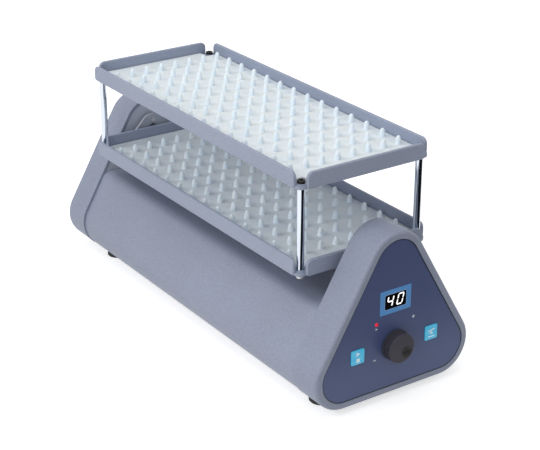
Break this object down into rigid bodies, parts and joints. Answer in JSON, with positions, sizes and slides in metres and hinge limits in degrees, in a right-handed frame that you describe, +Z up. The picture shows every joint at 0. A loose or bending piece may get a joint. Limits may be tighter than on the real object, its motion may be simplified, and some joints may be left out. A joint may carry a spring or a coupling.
{
  "type": "tube rocker",
  "caption": "Bench tube rocker: rounded-triangle housing with a panel end, and two pegged decks on corner rods that rock about the long axis.",
  "frame": {"origin": "on the bench, below the middle of the whole part with its knob", "axes": "+X along the rocking axis towards the control panel, +Y across it away from the left key, +Z up"},
  "size_m": [0.4142, 0.151, 0.1905],
  "materials": {
    "housing_grey": "fine moulded satin",
    "cheek_grey": "fine moulded satin",
    "bracket_grey": "satin paint",
    "tray_grey": "fine moulded satin",
    "mat_silicone": "translucent soft matt",
    "rod_chrome": "polished",
    "zinc_steel": "zinc plated",
    "black_screw": "black oxide",
    "foot_rubber": "matt",
    "overlay_blue": "satin printed sheet",
    "bezel_blue": "satin print",
    "display_black": "glossy lens",
    "lamp_red": "tinted lens",
    "key_cyan": "satin",
    "knob_black": "fine moulded satin",
    "board_green": "solder resist",
    "bush_bronze": "sintered",
    "gear_white": "nylon",
    "motor_steel": "drawn can",
    "inlet_black": "moulded"
  },
  "bodies": {
    "base": {"centre_housing": "housing_grey", "panel_end_housing": "housing_grey", "rear_end_housing": "housing_grey", "panel_end_cheek": "cheek_grey", "rear_end_cheek": "cheek_grey", "cheek_screws": "zinc_steel", "base_plate": "zinc_steel", "panel_upright": "zinc_steel", "rear_upright": "zinc_steel", "upright_screws": "zinc_steel", "panel_bush": "bush_bronze", "rear_bush": "bush_bronze", "foot_screws": "zinc_steel", "housing_screws": "zinc_steel", "gear_motor": "motor_steel", "motor_screws": "zinc_steel", "panel_overlay": "overlay_blue", "display_bezel": "bezel_blue", "display_window": "display_black", "display_module": "display_black", "indicator_lamp": "lamp_red", "control_board": "board_green", "board_screws": "zinc_steel", "key_switches": "inlet_black", "speed_encoder": "motor_steel", "encoder_nut": "zinc_steel", "power_inlet": "inlet_black", "foot_1": "foot_rubber", "foot_2": "foot_rubber", "foot_3": "foot_rubber", "foot_4": "foot_rubber"},
    "rocker": {"lower_tray": "tray_grey", "upper_tray": "tray_grey", "lower_mat": "mat_silicone", "upper_mat": "mat_silicone", "lower_rod_screws": "zinc_steel", "upper_rod_screws": "black_screw", "idler_bracket": "bracket_grey", "drive_bracket": "bracket_grey", "bracket_screws": "zinc_steel", "idler_shaft": "motor_steel", "drive_shaft": "motor_steel", "shaft_rings": "black_screw", "shaft_screws": "zinc_steel", "sector_gear": "gear_white", "corner_rod_1": "rod_chrome", "corner_rod_2": "rod_chrome", "corner_rod_3": "rod_chrome", "corner_rod_4": "rod_chrome"},
    "pinion": {"motor_pinion": "bush_bronze", "motor_shaft": "motor_steel"},
    "knob": {"speed_knob": "knob_black", "knob_shaft": "motor_steel"},
    "start_key": {"left_key": "key_cyan"},
    "mode_key": {"right_key": "key_cyan"}
  },
  "joints": [
    {"name": "deck_rocking", "type": "hinge", "parent": "base", "child": "rocker", "pos_m": [0, 0, 0.116], "axis": [1, 0, 0], "range_deg": [-12, 12]},
    {"name": "pinion_turn", "type": "hinge", "parent": "base", "child": "pinion", "pos_m": [-0.1887, 0, 0.046], "axis": [1, 0, 0], "range_deg": [-72, 72]},
    {"name": "knob_turn", "type": "hinge", "parent": "base", "child": "knob", "pos_m": [0.2003, 0, 0.0475], "axis": [1, 0, 0], "continuous": true},
    {"name": "left_key_press", "type": "slide", "parent": "base", "child": "start_key", "axis": [-1, 0, 0], "range_m": [0, 0.0008], "stiffness_N_per_m": 1500},
    {"name": "right_key_press", "type": "slide", "parent": "base", "child": "mode_key", "axis": [-1, 0, 0], "range_m": [0, 0.0008], "stiffness_N_per_m": 1500}
  ],
  "couplings": [
    {"joint": "pinion_turn", "follows": "deck_rocking", "ratio": -6}
  ]
}
